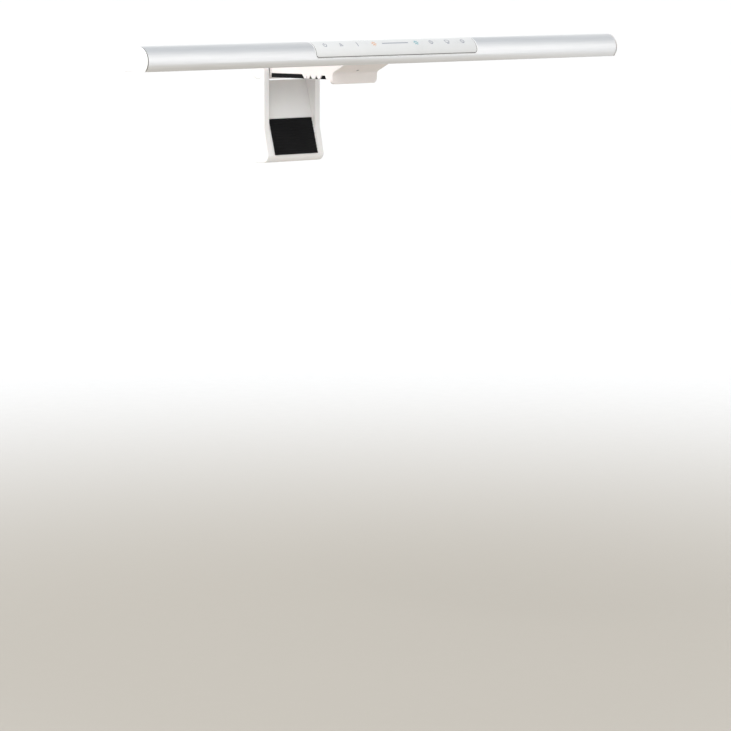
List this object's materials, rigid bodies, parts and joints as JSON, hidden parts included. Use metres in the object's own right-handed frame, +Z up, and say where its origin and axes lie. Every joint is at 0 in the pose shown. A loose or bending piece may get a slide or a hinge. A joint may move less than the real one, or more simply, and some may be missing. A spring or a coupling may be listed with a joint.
{
  "type": "monitor light bar",
  "caption": "Slim LED light bar with a touch panel that hangs over a monitor's top edge on a spring clamp with a tilting head.",
  "frame": {"origin": "front top edge of the monitor that carries the lamp, at the middle of the lamp's length: the clip's seat", "axes": "+X along the lamp to the right as seen from the chair, +Y from the screen towards the monitor's back, +Z up"},
  "size_m": [0.5, 0.134, 0.0979],
  "materials": {
    "satin_aluminium": "fine bead blast, silver, polished edges",
    "white_cap": "smooth satin",
    "white_rim": "smooth satin",
    "panel_white": "satin gloss",
    "clip_white": "fine moulded texture, warm white",
    "arm_white": "fine moulded texture",
    "bracket_white": "powder coat",
    "touch_foil": "polyimide film with copper pads",
    "clear_acrylic": "clear, light frosting",
    "board_green": "solder mask",
    "board_white": "white solder mask on aluminium",
    "chip_black": "moulded components",
    "lead_red": "extruded insulation",
    "raw_aluminium": "mill finish, extruded",
    "phosphor_warm": "silicone phosphor",
    "phosphor_cool": "silicone phosphor",
    "reflector_film": "reflective white film",
    "opal_diffuser": "opal, light frosting",
    "plated_steel": "nickel or zinc plated",
    "socket_shell": "nickel plated",
    "black_plastic": "satin",
    "dark_window": "dark gloss",
    "spring_steel": "oiled music wire",
    "bronze": "phosphor bronze",
    "weight_iron": "black phosphate",
    "black_rubber": "matte silicone rubber"
  },
  "bodies": {
    "clip": {"clip_frame": "clip_white", "clip_cover": "clip_white", "cover_screws": "plated_steel", "spine_plate": "plated_steel", "bridge_pad": "black_rubber", "hook_pad": "black_rubber", "sensor_window": "dark_window", "sensor_board": "board_green", "tilt_pin": "plated_steel", "friction_washers": "bronze", "hinge_bushes": "black_plastic", "torsion_springs": "spring_steel"},
    "lamp": {"sleeve": "satin_aluminium", "end_cap_left": "white_cap", "end_cap_right": "white_cap", "panel_frame": "white_rim", "touch_panel": "panel_white", "touch_film": "touch_foil", "light_guide": "clear_acrylic", "touch_board": "board_green", "driver_board": "board_green", "driver_parts": "chip_black", "supply_leads": "lead_red", "chassis": "raw_aluminium", "led_board": "board_white", "led_chips_warm": "phosphor_warm", "led_chips_cool": "phosphor_cool", "reflector": "reflector_film", "diffuser": "opal_diffuser", "socket_housing": "white_cap", "usb_socket": "socket_shell", "usb_tongue": "black_plastic", "socket_board": "board_green", "tilt_bracket": "bracket_white", "bracket_screws": "plated_steel", "nut_plate": "plated_steel"},
    "arm": {"arm_frame": "arm_white", "arm_cover": "arm_white", "arm_screws": "plated_steel", "counterweight": "weight_iron", "arm_pad": "black_rubber", "hinge_pin": "plated_steel", "pivot_caps": "arm_white"}
  },
  "joints": [
    {"name": "lamp_tilt", "type": "hinge", "parent": "clip", "child": "lamp", "pos_m": [0, -0.0184, 0.01753], "axis": [1, 0, 0], "range_deg": [-10, 15]},
    {"name": "arm_swing", "type": "hinge", "parent": "clip", "child": "arm", "pos_m": [0, 0.0753, 0.005], "axis": [-1, 0, 0], "range_deg": [-15, 72], "stiffness_Nm_per_rad": 0.25}
  ]
}
